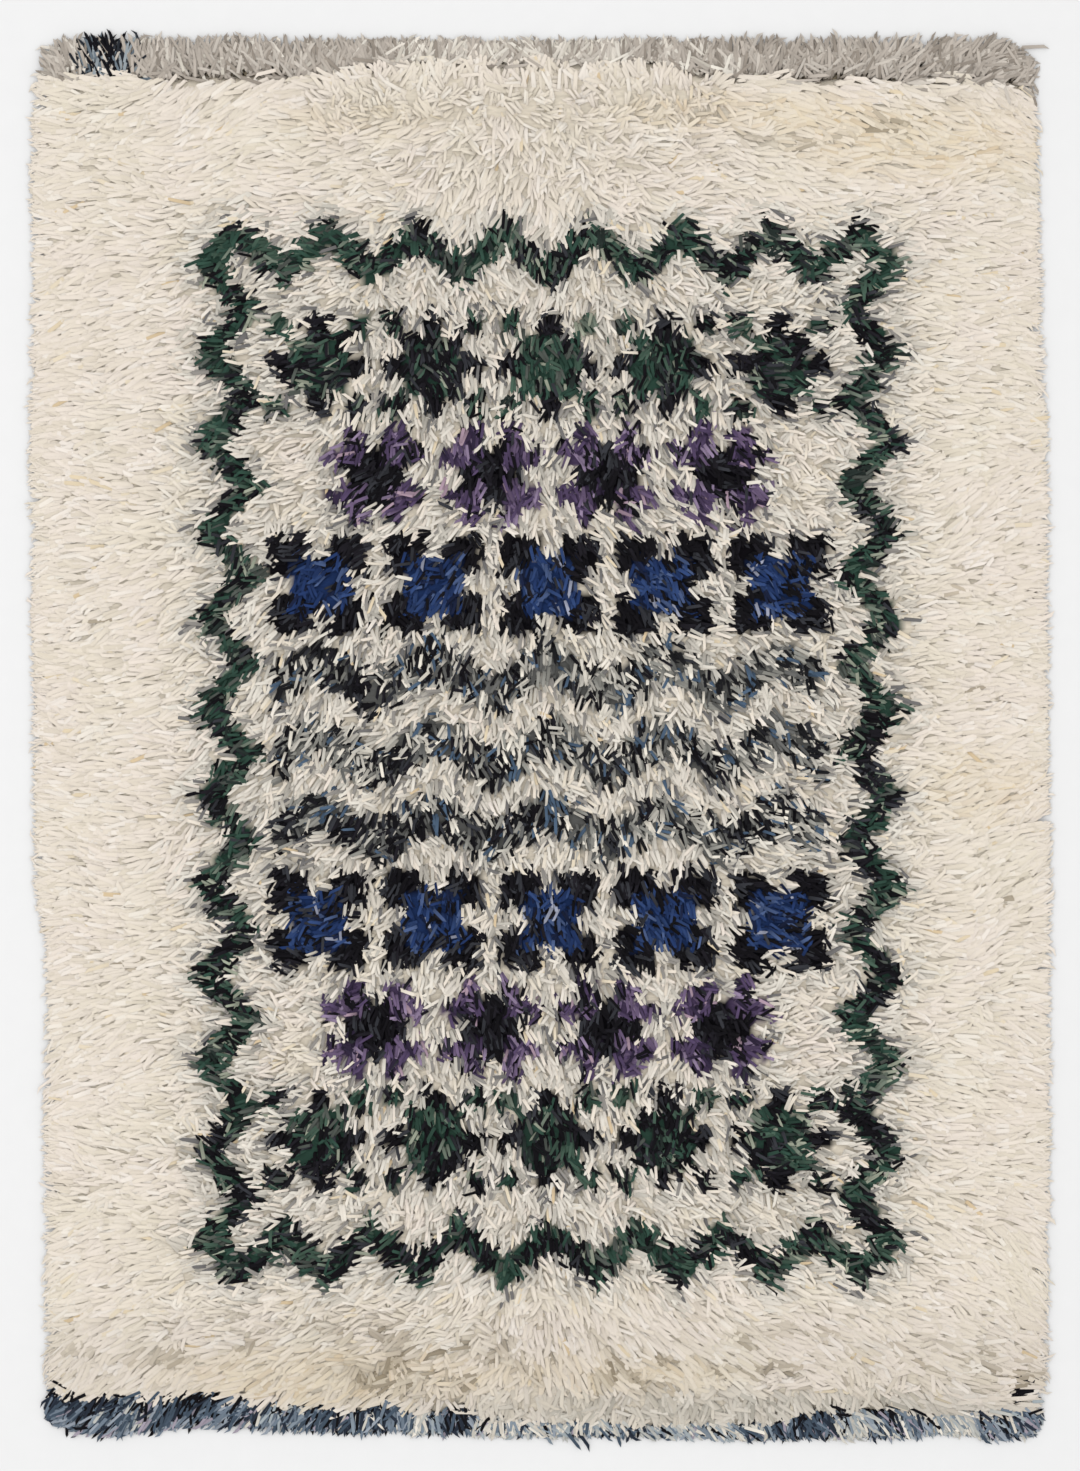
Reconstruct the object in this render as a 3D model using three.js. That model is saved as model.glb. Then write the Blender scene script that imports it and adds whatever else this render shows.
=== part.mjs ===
// A long-pile rya rug lying flat, in millimetres, +Z up.
// +X runs across the rug and +Y along it, towards its taupe end. The origin is the middle of
// its footprint, on the surface that it lies on.
// The knotted field is a lumpy slab with locks of pile that fall over its two long sides, and
// each end band is a strip parted from the field, with locks along its three free sides.

import * as THREE from 'three';

// Heights of the pile as it lies
const PILE_HEIGHT = 24;
const LONG_EDGE_HEIGHT = 11;
const SEAM_HEIGHT = 20;
const BAND_HEIGHT = 17;
const BAND_RIM_HEIGHT = 9;
const LUMP_HEIGHT = 6;
const BAND_LUMP_HEIGHT = 3;
const FALL_WIDTH = 90; // the pile thins towards the rim over this width

// How closely the pile is divided
const ROWS = 88; // rows of tufts along the field, each with a lock at both ends
const TUFTS = 28; // tufts across a row
const LOCKS_PER_TUFT = 2; // locks that an end band has for each tuft across the field
const BAND_ROWS = 2;
const TUFT_SHIFT = 0.22; // share of its size by which a tuft or a lock strays from its place

// Locks at the rim, lying on the floor
const SIDE_LOCK_LENGTH = 31;
const LENGTH_SPREAD = 8;
const BAND_SIDE_LOCK_LENGTH = 25;
const BAND_LENGTH_SPREAD = 6;
const LOCK_SHARE = 0.58; // share of an end band's depth that its locks take up
const TIP_WIDTH = 5;
const TIP_HEIGHT = 3;
const TOP_SHARE = 0.6; // width of a lock's top against its underside
const WAIST = { reach: 0.55, width: 0.7, height: 0.8 }; // shares of a lock's length and of its root
const FAN_REACH = 2; // walls on each side that a lock's direction takes in, so that corners fan out
const LEAN = THREE.MathUtils.degToRad(16);
const LEAN_SPREAD = THREE.MathUtils.degToRad(6);
const SWAY_ACROSS = 47; // the locks lean this way and that in waves of about six times this length
const SWAY_ALONG = 71;

// Gap between the field and an end band, and how far their border strays from its line
const SEAM_GAP = 0.4;
const SEAM_STRAY = 4;

// The long edges, where the pile's tips reach to, at places along the rug from its middle.
const LONG_EDGES = [
  { along: -975, left: -684, right: 694 },
  { along: -900, left: -686, right: 703 },
  { along: -600, left: -689, right: 709 },
  { along: -300, left: -686, right: 708 },
  { along: -215, left: -702, right: 711 },
  { along: 50, left: -704, right: 706 },
  { along: 380, left: -709, right: 705 },
  { along: 560, left: -705, right: 697 },
  { along: 760, left: -707, right: 693 },
  { along: 975, left: -702, right: 687 },
];

// The ends, at places across the rug: how far the tips reach at the head and at the foot, and
// where the end bands meet the field.
const ENDS = [
  { across: -700, foot: -925, footSeam: -905, headSeam: 902, head: 950 },
  { across: -655, foot: -962, footSeam: -912, headSeam: 908, head: 972 },
  { across: -420, foot: -968, footSeam: -914, headSeam: 907, head: 974 },
  { across: -200, foot: -971, footSeam: -914, headSeam: 924, head: 967 },
  { across: -60, foot: -972, footSeam: -922, headSeam: 930, head: 964 },
  { across: 180, foot: -971, footSeam: -934, headSeam: 928, head: 965 },
  { across: 330, foot: -972, footSeam: -935, headSeam: 912, head: 971 },
  { across: 640, foot: -975, footSeam: -932, headSeam: 907, head: 973 },
  { across: 705, foot: -935, footSeam: -908, headSeam: 901, head: 948 },
];

// Starting points of the steady noise, one for each thing that strays
const NOISE = { headSeam: 11, footSeam: 12, field: 21, headBand: 31, footBand: 41 };

const WOOL = { roughness: 0.95, metalness: 0 };
const creamPile = new THREE.MeshStandardMaterial({ color: '#e7dcc8', ...WOOL });
const taupePile = new THREE.MeshStandardMaterial({ color: '#a39a90', ...WOOL });
const blueGreyPile = new THREE.MeshStandardMaterial({ color: '#4c586b', ...WOOL });

// A source of numbers from -1 to 1 that gives the same ones every time (a 32-bit mix).
function steadyNoise(seed) {
  let state = seed;
  return () => {
    state = (state + 0x6d2b79f5) | 0;
    let mixed = Math.imul(state ^ (state >>> 15), 1 | state);
    mixed = (mixed + Math.imul(mixed ^ (mixed >>> 7), 61 | mixed)) ^ mixed;
    return (((mixed ^ (mixed >>> 14)) >>> 0) / 2 ** 31) - 1;
  };
}

// The value of one column of a table, on straight lines between its rows.
function read(table, key, at, column) {
  const last = table.length - 1;
  let row = 1;
  while (row < last && table[row][key] < at) row += 1;
  const before = table[row - 1];
  const after = table[row];
  const share = THREE.MathUtils.clamp((at - before[key]) / (after[key] - before[key]), 0, 1);
  return THREE.MathUtils.lerp(before[column], after[column], share);
}

// Where the slabs' walls stand: the rim of the pile less the locks that lie outside it.
function wallAcross(u, along) {
  const left = read(LONG_EDGES, 'along', along, 'left') + SIDE_LOCK_LENGTH;
  const right = read(LONG_EDGES, 'along', along, 'right') - SIDE_LOCK_LENGTH;
  return THREE.MathUtils.lerp(left, right, u);
}

// The border between the field and an end band: a point for each tuft, joined by straight lines.
function seamLine(column, seed) {
  const noise = steadyNoise(seed);
  const points = [];
  for (let tuft = 0; tuft <= TUFTS; tuft += 1) {
    const guess = wallAcross(tuft / TUFTS, 0);
    const atCorner = tuft === 0 || tuft === TUFTS;
    const along = read(ENDS, 'across', guess, column) + (atCorner ? 0 : SEAM_STRAY * noise());
    points.push(new THREE.Vector2(wallAcross(tuft / TUFTS, along), along));
  }
  return (u) => {
    const tuft = Math.min(Math.floor(u * TUFTS), TUFTS - 1);
    return points[tuft].clone().lerp(points[tuft + 1], u * TUFTS - tuft);
  };
}

const headSeam = seamLine('headSeam', NOISE.headSeam);
const footSeam = seamLine('footSeam', NOISE.footSeam);

// The points and triangles of one closed solid, gathered piece by piece.
class Solid {
  points = [];
  faces = [];

  point(x, y, z) {
    return this.points.push(new THREE.Vector3(x, y, z)) - 1;
  }

  quad(a, b, c, d) {
    this.faces.push([a, b, c], [a, c, d]);
  }

  geometry() {
    const geometry = new THREE.BufferGeometry().setFromPoints(this.points);
    geometry.setIndex(this.faces.flat());
    geometry.computeVertexNormals();
    return geometry;
  }
}

// The lumpy top: a grid of points, each a little off its place, joined by triangles.
function layTop(solid, slab) {
  const { columns, rows, plan, crown, lumpHeight, lockedSides } = slab;
  const noise = steadyNoise(slab.seed);
  const top = [];
  for (let column = 0; column <= columns; column += 1) {
    top.push([]);
    for (let row = 0; row <= rows; row += 1) {
      const onLongSide = column === 0 || column === columns;
      const onEnd = row === 0 || row === rows;
      const onSeam = onEnd && !lockedSides.includes(row === 0 ? 'foot' : 'head');
      const u = (column + (onLongSide || onSeam ? 0 : TUFT_SHIFT * noise())) / columns;
      const v = (row + (onEnd ? 0 : TUFT_SHIFT * noise())) / rows;
      const place = plan(u, v);
      const lump = (onLongSide || onEnd ? lumpHeight / 2 : lumpHeight) * noise();
      top[column].push(solid.point(place.x, place.y, crown(u, place) + lump));
    }
  }
  const height = (index) => solid.points[index].z;
  for (let column = 0; column < columns; column += 1) {
    for (let row = 0; row < rows; row += 1) {
      const [a, b] = [top[column][row], top[column + 1][row]];
      const [d, c] = [top[column][row + 1], top[column + 1][row + 1]];
      // The higher pair is joined, so that a tuft reads as a ridge.
      if (height(a) + height(c) > height(b) + height(d)) solid.quad(a, b, c, d);
      else solid.quad(b, c, d, a);
    }
  }
  return top;
}

// The rim of the top, anticlockwise from above, with a point on the floor under each step.
function rimOf(solid, top, { columns, rows }) {
  const rim = [];
  for (let column = 0; column < columns; column += 1) rim.push({ top: top[column][0], side: 'foot' });
  for (let row = 0; row < rows; row += 1) rim.push({ top: top[columns][row], side: 'right' });
  for (let column = columns; column > 0; column -= 1) rim.push({ top: top[column][rows], side: 'head' });
  for (let row = rows; row > 0; row -= 1) rim.push({ top: top[0][row], side: 'left' });
  for (const step of rim) {
    const { x, y } = solid.points[step.top];
    step.floor = solid.point(x, y, 0);
  }
  return rim;
}

// One lock lying on the floor, outwards from its root, a wall quad: a blunt four-sided tongue
// in two steps, whose underside is level with the slab's.
function addLock(solid, root, outward, length, lean) {
  const along = outward.clone().rotateAround(new THREE.Vector2(), lean);
  const across = new THREE.Vector2(-along.y, along.x);
  const [start, end, topEnd, topStart] = root.map((index) => solid.points[index]);
  const foot = new THREE.Vector2((start.x + end.x) / 2, (start.y + end.y) / 2);
  const rootWidth = Math.hypot(end.x - start.x, end.y - start.y);
  const rootHeight = (topStart.z + topEnd.z) / 2;
  const steps = [
    { reach: WAIST.reach, width: rootWidth * WAIST.width, height: rootHeight * WAIST.height },
    { reach: 1, width: TIP_WIDTH, height: TIP_HEIGHT },
  ];
  let ring = root;
  for (const { reach, width, height } of steps) {
    const centre = foot.clone().addScaledVector(along, length * reach);
    const corner = (offset, z) => {
      const place = centre.clone().addScaledVector(across, offset);
      return solid.point(place.x, place.y, z);
    };
    const half = width / 2;
    const halfTop = half * TOP_SHARE;
    const next = [corner(-half, 0), corner(half, 0), corner(halfTop, height), corner(-halfTop, height)];
    ring.forEach((index, side) => {
      const after = (side + 1) % ring.length;
      solid.quad(index, ring[after], next[after], next[side]);
    });
    ring = next;
  }
  solid.quad(...ring);
}

// The walls from the rim to the floor: plain along a seam, and drawn out as locks elsewhere.
function raiseWalls(solid, rim, slab) {
  const noise = steadyNoise(slab.seed + 1);
  const walls = rim.map((step, index) => {
    const next = rim[(index + 1) % rim.length];
    const start = solid.points[step.floor];
    const end = solid.points[next.floor];
    const place = new THREE.Vector2((start.x + end.x) / 2, (start.y + end.y) / 2);
    return {
      quad: [step.floor, next.floor, next.top, step.top],
      outward: new THREE.Vector2(end.y - start.y, start.x - end.x).normalize(),
      place,
      lockLength: slab.lockedSides.includes(step.side) ? slab.lockLength(place, step.side) : 0,
    };
  });
  walls.forEach((wall, index) => {
    if (!wall.lockLength) {
      solid.quad(...wall.quad);
      return;
    }
    const outward = new THREE.Vector2();
    let freedom = 1; // a lock beside a seam keeps to its own side of it
    for (let offset = -FAN_REACH; offset <= FAN_REACH; offset += 1) {
      const other = walls[(index + offset + walls.length) % walls.length];
      if (other.lockLength) outward.add(other.outward);
      else freedom = 0;
    }
    const sway = Math.sin(wall.place.x / SWAY_ACROSS) * Math.cos(wall.place.y / SWAY_ALONG);
    const lean = freedom * (LEAN * sway + LEAN_SPREAD * noise());
    const length = wall.lockLength + freedom * slab.lengthSpread * noise();
    addLock(solid, wall.quad, outward.normalize(), length, lean);
  });
}

// The flat underside: a strip from side to side for each row, with a full row of points beside
// each end. A deep slab's full row is straight, so that the strips beyond it meet it.
function closeUnderside(solid, top, rim, { columns, rows }) {
  const floors = rim.map((step) => step.floor);
  const head = columns + rows;
  const floorRow = (row) => {
    if (row === 0) return floors.slice(0, columns + 1);
    if (row === rows) return floors.slice(head, head + columns + 1).reverse();
    const left = floors[2 * head - row];
    const right = floors[columns + row];
    if (row > 1 && row < rows - 1) return [left, right];
    const between = [];
    for (let column = 1; column < columns; column += 1) {
      const straight = solid.points[left].clone().lerp(solid.points[right], column / columns);
      const { x, y } = rows > BAND_ROWS ? straight : solid.points[top[column][row]];
      between.push(solid.point(x, y, 0));
    }
    return [left, ...between, right];
  };
  let near = floorRow(0);
  for (let row = 0; row < rows; row += 1) {
    const far = floorRow(row + 1);
    const lastNear = near.length - 1;
    const lastFar = far.length - 1;
    let n = 0;
    let f = 0;
    while (n < lastNear || f < lastFar) {
      if (f === lastFar || (n < lastNear && n / lastNear <= f / lastFar)) {
        solid.faces.push([near[n], far[f], near[n + 1]]);
        n += 1;
      } else {
        solid.faces.push([near[n], far[f], far[f + 1]]);
        f += 1;
      }
    }
    near = far;
  }
}

// A closed slab: plan(u, v) places a point, from 0 to 1 across and from foot to head, and
// crown(u, place) is the pile's mean height there.
function lumpySlab(slab) {
  const solid = new Solid();
  const top = layTop(solid, slab);
  const rim = rimOf(solid, top, slab);
  raiseWalls(solid, rim, slab);
  closeUnderside(solid, top, rim, slab);
  return solid.geometry();
}

// How much the pile has fallen, from 1 at the rim to 0 a little way in.
function fall(fromRim) {
  return 1 - THREE.MathUtils.smoothstep(fromRim, 0, FALL_WIDTH);
}

function knottedField() {
  return lumpySlab({
    columns: TUFTS,
    rows: ROWS,
    seed: NOISE.field,
    lumpHeight: LUMP_HEIGHT,
    lockedSides: ['left', 'right'],
    lengthSpread: LENGTH_SPREAD,
    lockLength: () => SIDE_LOCK_LENGTH,
    plan: (u, v) => {
      const along = THREE.MathUtils.lerp(footSeam(u).y, headSeam(u).y, v);
      return new THREE.Vector2(wallAcross(u, along), along);
    },
    crown: (u, place) => {
      const fromSide = Math.min(place.x - wallAcross(0, place.y), wallAcross(1, place.y) - place.x);
      const fromSeam = Math.min(place.y - footSeam(u).y, headSeam(u).y - place.y);
      const sideFall = (PILE_HEIGHT - LONG_EDGE_HEIGHT) * fall(fromSide);
      const seamFall = (PILE_HEIGHT - SEAM_HEIGHT) * fall(fromSeam);
      return PILE_HEIGHT - Math.max(sideFall, seamFall);
    },
  });
}

// An end band, from its seam out to the tips that the named column of ENDS gives.
function endBand(end, seam, seed) {
  const towards = end === 'head' ? 1 : -1;
  const inner = (u) => seam(u).add(new THREE.Vector2(0, towards * SEAM_GAP));
  const outer = (u) => {
    const { x, y } = seam(u);
    const along = THREE.MathUtils.lerp(read(ENDS, 'across', x, end), y, LOCK_SHARE);
    return new THREE.Vector2(wallAcross(u, along), along);
  };
  return lumpySlab({
    columns: TUFTS * LOCKS_PER_TUFT,
    rows: BAND_ROWS,
    seed,
    lumpHeight: BAND_LUMP_HEIGHT,
    lockedSides: ['left', 'right', end],
    lengthSpread: BAND_LENGTH_SPREAD,
    lockLength: (place, side) => {
      if (side !== end) return BAND_SIDE_LOCK_LENGTH;
      return Math.abs(read(ENDS, 'across', place.x, end) - place.y);
    },
    plan: (u, v) => inner(u).lerp(outer(u), end === 'head' ? v : 1 - v),
    crown: (u, place) => {
      const outwards = (place.y - inner(u).y) / (outer(u).y - inner(u).y);
      return THREE.MathUtils.lerp(BAND_HEIGHT, BAND_RIM_HEIGHT, outwards);
    },
  });
}

function named(name, geometry, material) {
  const mesh = new THREE.Mesh(geometry, material);
  mesh.name = name;
  return mesh;
}

const rug = new THREE.Group();
rug.add(named('knotted_field', knottedField(), creamPile));
rug.add(named('head_band', endBand('head', headSeam, NOISE.headBand), taupePile));
rug.add(named('foot_band', endBand('foot', footSeam, NOISE.footBand), blueGreyPile));

// The footprint's middle is brought to the origin.
const footprint = new THREE.Box3().setFromObject(rug, true);
const middle = footprint.getCenter(new THREE.Vector3());
rug.position.set(-middle.x, -middle.y, 0);

export default rug;
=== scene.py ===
import math

import bmesh
import bpy
import numpy as np
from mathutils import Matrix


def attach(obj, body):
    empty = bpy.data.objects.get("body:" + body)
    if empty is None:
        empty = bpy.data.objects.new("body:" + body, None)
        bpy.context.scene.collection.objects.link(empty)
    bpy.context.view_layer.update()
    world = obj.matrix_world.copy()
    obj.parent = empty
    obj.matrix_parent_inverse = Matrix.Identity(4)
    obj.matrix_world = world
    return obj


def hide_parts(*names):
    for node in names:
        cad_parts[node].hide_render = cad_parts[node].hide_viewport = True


# A long-pile rya rug laid out flat, in metres: +X across the rug, +Y along it towards its taupe
# end, +Z up through the pile. Wool locks are knotted in rows into a woven ground cloth, and a
# narrow band of the pile at each end is tied in other yarns.
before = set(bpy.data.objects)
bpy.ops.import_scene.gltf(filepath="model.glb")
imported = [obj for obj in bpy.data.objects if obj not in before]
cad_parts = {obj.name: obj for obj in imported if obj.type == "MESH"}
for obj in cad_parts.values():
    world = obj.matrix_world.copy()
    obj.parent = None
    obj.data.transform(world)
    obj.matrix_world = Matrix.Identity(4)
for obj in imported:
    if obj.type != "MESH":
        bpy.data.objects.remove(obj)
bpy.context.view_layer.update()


# Camera
# The rug is seen from straight above. The lens is a long one, so that the pile's depth hides
# none of the floor at the rim, and it stands where the picture takes in as much as the photograph.
PHOTO_HEIGHT_PX = 1471
METRES_PER_PX = 0.001383
LENS_MM = 85
SENSOR_MM = 36
PILE_TOP = 0.022
CAMERA_ALONG = -0.001  # the rug lies this much off the middle of the photograph


def new_object(name, contents):
    """A new object in the scene, at the origin."""
    thing = bpy.data.objects.new(name, contents)
    bpy.context.scene.collection.objects.link(thing)
    return thing


camera = new_object("camera", bpy.data.cameras.new("camera"))
camera.data.lens = LENS_MM
camera.data.sensor_width = SENSOR_MM
camera_height = PILE_TOP + PHOTO_HEIGHT_PX * METRES_PER_PX * LENS_MM / SENSOR_MM
camera.location = (0, CAMERA_ALONG, camera_height)
bpy.context.scene.camera = camera
bpy.context.scene.view_settings.view_transform = "Standard"


# Light
# One broad soft lamp high over the rug, a little towards its taupe end and its left side. The
# white walls of the studio give the rest of the light from all round.
def linear(hex_colour):
    """An sRGB hex colour as linear red, green, blue and alpha."""
    channels = [int(hex_colour[at:at + 2], 16) / 255 for at in (1, 3, 5)]
    return (*(c / 12.92 if c <= 0.04045 else ((c + 0.055) / 1.055) ** 2.4 for c in channels), 1)


LAMP_PLACE = (-0.5, 0.25, 4.6)
LAMP_SIZE = 3.6
LAMP_WATTS = 68
ROOM_LIGHT = 0.95

lamp = new_object("soft_lamp", bpy.data.lights.new("soft_lamp", "AREA"))
lamp.data.size = LAMP_SIZE
lamp.data.energy = LAMP_WATTS
lamp.location = LAMP_PLACE
lamp.rotation_euler = (-lamp.location).to_track_quat("-Z", "Y").to_euler()

room = bpy.data.worlds.new("white_room")
room.use_nodes = True
room.node_tree.nodes["Background"].inputs["Color"].default_value = linear("#ffffff")
room.node_tree.nodes["Background"].inputs["Strength"].default_value = ROOM_LIGHT
bpy.context.scene.world = room


# Floor
# A plain pale studio floor in matt paint, rolled on, so that it is all but even to the eye. It
# isn't part of the rug.
FLOOR_SIDE = 60
PAINT_MOTTLE = 0.03  # from one roller mark to the next


def add_node(tree, kind, settings, inputs):
    """Adds a node with its settings, and with a value or a link for each input that is named."""
    node = tree.nodes.new(kind)
    for name, value in settings.items():
        setattr(node, name, value)
    for name, value in inputs.items():
        if isinstance(value, bpy.types.NodeSocket):
            tree.links.new(value, node.inputs[name])
        else:
            node.inputs[name].default_value = value
    return node


def new_material(name, roughness, specular):
    """A material with only a shader and an output, and its node tree and shader."""
    material = bpy.data.materials.new(name)
    material.use_nodes = True
    shader = material.node_tree.nodes["Principled BSDF"]
    shader.inputs["Roughness"].default_value = roughness
    shader.inputs["Specular IOR Level"].default_value = specular
    return material, material.node_tree, shader


def matt_floor_paint():
    """Wall and floor paint with no shine. It gives the eye an even light grey."""
    material, tree, shader = new_material("matt_floor_paint", roughness=0.8, specular=0.2)
    place = add_node(tree, "ShaderNodeTexCoord", {}, {}).outputs["Object"]
    mottle = add_node(tree, "ShaderNodeTexNoise", {}, {"Vector": place, "Scale": 1 / PAINT_MOTTLE})
    paint = add_node(
        tree,
        "ShaderNodeMix",
        {"data_type": "RGBA"},
        {"Factor": mottle.outputs["Fac"], "A": linear("#dfdfdf"), "B": linear("#e2e2e2")},
    )
    tree.links.new(paint.outputs["Result"], shader.inputs["Base Color"])
    return material


def finished(name, form, material):
    """An object made from a bmesh, with its material."""
    mesh = bpy.data.meshes.new(name)
    form.to_mesh(mesh)
    form.free()
    mesh.materials.append(material)
    return new_object(name, mesh)


plane = bmesh.new()
bmesh.ops.create_grid(plane, x_segments=1, y_segments=1, size=FLOOR_SIDE / 2)
floor = finished("floor", plane, matt_floor_paint())


# Ground cloth
# The woven cloth that the knots are tied into: thick undyed wool weft beaten down over the warp,
# so that only ribs of weft show. It lies flat on the floor, and the pile hides its edges.
CLOTH_THICKNESS = 0.003
CLOTH_INSET = 0.027  # from the tips of the pile to the edge of the cloth
CLOTH_STEPS = (28, 39)
RIB_PITCH = 0.0042
WEFT_PITCH = 0.0016
WEFT_HEIGHT = 0.4  # of the wefts against the ribs
NAP_PER_METRE = 90
WAVE_PERIOD = math.pi / 10  # of the wave texture's straight bands at a scale of 1
ROUGH_LENGTH = 1.9  # of the rug, near enough to look up its long edges


def rows_of(columns, *rows):
    """The rows of a table as dictionaries, with the names of its columns."""
    return [dict(zip(columns.split(), row)) for row in rows]


# The long edges, where the pile's tips reach to, at places along the rug
LONG_EDGES = rows_of(
    "along left right",
    (-0.975, -0.684, 0.694),
    (-0.900, -0.686, 0.703),
    (-0.600, -0.689, 0.709),
    (-0.300, -0.686, 0.708),
    (-0.215, -0.702, 0.711),
    (0.050, -0.704, 0.706),
    (0.380, -0.709, 0.705),
    (0.560, -0.705, 0.697),
    (0.760, -0.707, 0.693),
    (0.975, -0.702, 0.687),
)
# The ends, at places across the rug: how far the tips reach at the foot and at the head, and
# where the bands of other yarn meet the cream pile
ENDS = rows_of(
    "across foot foot_seam head_seam head",
    (-0.700, -0.932, -0.900, 0.902, 0.950),
    (-0.680, -0.956, -0.910, 0.906, 0.962),
    (-0.655, -0.970, -0.913, 0.910, 0.972),
    (-0.600, -0.977, -0.918, 0.912, 0.973),
    (-0.460, -0.963, -0.911, 0.913, 0.973),
    (-0.350, -0.970, -0.929, 0.914, 0.972),
    (-0.280, -0.971, -0.937, 0.916, 0.970),
    (-0.236, -0.971, -0.940, 0.929, 0.968),
    (-0.226, -0.971, -0.924, 0.932, 0.968),
    (-0.188, -0.971, -0.924, 0.937, 0.967),
    (-0.176, -0.972, -0.944, 0.938, 0.967),
    (-0.136, -0.973, -0.944, 0.939, 0.966),
    (-0.128, -0.973, -0.933, 0.939, 0.966),
    (-0.098, -0.973, -0.933, 0.940, 0.966),
    (-0.088, -0.974, -0.956, 0.940, 0.965),
    (0.130, -0.972, -0.963, 0.938, 0.966),
    (0.260, -0.976, -0.965, 0.912, 0.970),
    (0.310, -0.977, -0.958, 0.910, 0.971),
    (0.380, -0.979, -0.936, 0.909, 0.971),
    (0.480, -0.980, -0.937, 0.908, 0.971),
    (0.565, -0.972, -0.946, 0.908, 0.971),
    (0.645, -0.982, -0.934, 0.908, 0.971),
    (0.690, -0.974, -0.932, 0.902, 0.934),
    (0.705, -0.950, -0.925, 0.890, 0.915),
)


def read_off(table, way, places, column):
    """A column of a table, read at places between its rows. The rows are in order of way."""
    return np.interp(places, [row[way] for row in table], [row[column] for row in table])


def side(name, along):
    """Where a long edge of the pile lies."""
    return read_off(LONG_EDGES, "along", along, name)


def end(name, across):
    """Where an end of the pile, or the seam before it, lies."""
    return read_off(ENDS, "across", across, name)


def ribbed_wool_weave():
    """Undyed wool weft packed over a linen warp. It gives the eye close ribs with a dull nap."""
    material, tree, shader = new_material("ribbed_wool_weave", roughness=0.92, specular=0.2)
    place = add_node(tree, "ShaderNodeTexCoord", {}, {}).outputs["Object"]
    ribs = add_node(
        tree,
        "ShaderNodeTexWave",
        {"bands_direction": "X"},
        {"Vector": place, "Scale": WAVE_PERIOD / RIB_PITCH, "Distortion": 0.6},
    )
    wefts = add_node(
        tree,
        "ShaderNodeTexWave",
        {"bands_direction": "Y"},
        {"Vector": place, "Scale": WAVE_PERIOD / WEFT_PITCH, "Distortion": 1.2},
    )
    nap = add_node(tree, "ShaderNodeTexNoise", {}, {"Vector": place, "Scale": NAP_PER_METRE})
    yarn = add_node(
        tree,
        "ShaderNodeMix",
        {"data_type": "RGBA"},
        {"Factor": nap.outputs["Fac"], "A": linear("#b9a88a"), "B": linear("#d9cbb0")},
    )
    tree.links.new(yarn.outputs["Result"], shader.inputs["Base Color"])
    height = add_node(
        tree,
        "ShaderNodeMath",
        {"operation": "MULTIPLY_ADD"},
        {0: wefts.outputs["Fac"], 1: WEFT_HEIGHT, 2: ribs.outputs["Fac"]},
    )
    relief = add_node(
        tree, "ShaderNodeBump", {}, {"Height": height.outputs[0], "Strength": 0.8, "Distance": 0.0012}
    )
    tree.links.new(relief.outputs["Normal"], shader.inputs["Normal"])
    return material


def fit_grid(form, side_inset, foot, head, end_inset, height):
    """Stretches a grid with sides of 1 to reach between the long edges and the two named ends."""
    for corner in form.verts:
        left_end = side("left", corner.co.y * ROUGH_LENGTH) + side_inset
        right_end = side("right", corner.co.y * ROUGH_LENGTH) - side_inset
        x = left_end + (right_end - left_end) * (corner.co.x + 0.5)
        foot_end = end(foot, x) + end_inset
        head_end = end(head, x) - end_inset
        corner.co = (x, foot_end + (head_end - foot_end) * (corner.co.y + 0.5), height)


def doubled(form):
    """Extrudes a whole sheet, and gives the corners of its upper side, still to be raised."""
    extruded = bmesh.ops.extrude_face_region(form, geom=form.faces[:])
    return [part for part in extruded["geom"] if isinstance(part, bmesh.types.BMVert)]


cloth = bmesh.new()
bmesh.ops.create_grid(cloth, x_segments=CLOTH_STEPS[0], y_segments=CLOTH_STEPS[1], size=0.5)
fit_grid(cloth, CLOTH_INSET, "foot", "head", CLOTH_INSET, 0)
bmesh.ops.translate(cloth, vec=(0, 0, CLOTH_THICKNESS), verts=doubled(cloth))
bmesh.ops.recalc_face_normals(cloth, faces=cloth.faces[:])
ground_cloth = finished("ground_cloth", cloth, ribbed_wool_weave())
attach(ground_cloth, "root")


# Knotted field
# Rows of knots, each of three to six locks of thick two-ply wool yarn, 40 to 60 mm long, that
# fall over and cover one another. Cream yarn, with dyed yarns tied in to the chart below.
ROW_PITCH = 0.0155  # from one row of knots to the next
KNOT_PITCH = 0.0086
ROWS = (-0.957, 0.94)  # where the first row is, and where there are no more
KNOTS = (-0.70, 0.70)
ROW_STRAY = 0.42  # how far a knot is out of place, as a share of the pitch
KNOT_STRAY = 0.45
KNOT_RADIUS = 0.0035  # the locks of a knot start this near to its middle
LOCKS_A_KNOT = 3
LOCKS_A_SPLIT_KNOT = 4  # in the chart and other places where the pile stands up
LOCKS_A_PARTED_KNOT = 6  # where the lay parts
SPLIT_FROM = 0.35  # how much the pile stands up, from 0 to 1, before its yarn splits up
LOCK_REACH = (0.034, 0.050)  # from its knot to its tip
MEAN_REACH = 0.040
LOCK_WIDTH = (0.0048, 0.0068)
SHORTER = {"standing": 0.32, "ruffled": 0.20}  # share of its reach that such a lock loses
NARROWER = 0.26  # share of its width that a standing lock loses
RIM_LOCKS = 2600
RIM_LOCK_WIDTH = (0.0022, 0.0036)
RIM_SCATTER = (-0.012, 0.010)  # of the rim's locks, from the outermost knots inwards
RIM_ENDS = (-0.90, 0.89)
KNOT_INSET = 0.031  # from the tips at a long side to the outermost knots
SEAM_INSET = 0.002  # from a seam to the nearest row of cream knots
OVERHANG = {"most": 0.006, "uneven": 0.007, "spacing": 0.030}  # of cream tips past a seam
LEAST_CLIP = 0.70  # of a cream lock's length, beside a seam
LEAST_OUTWARDS = 0.001  # a lock that reaches no further towards a seam counts as this
PILE_HEIGHT = 0.024
RIM_HEIGHT = 0.004
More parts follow.
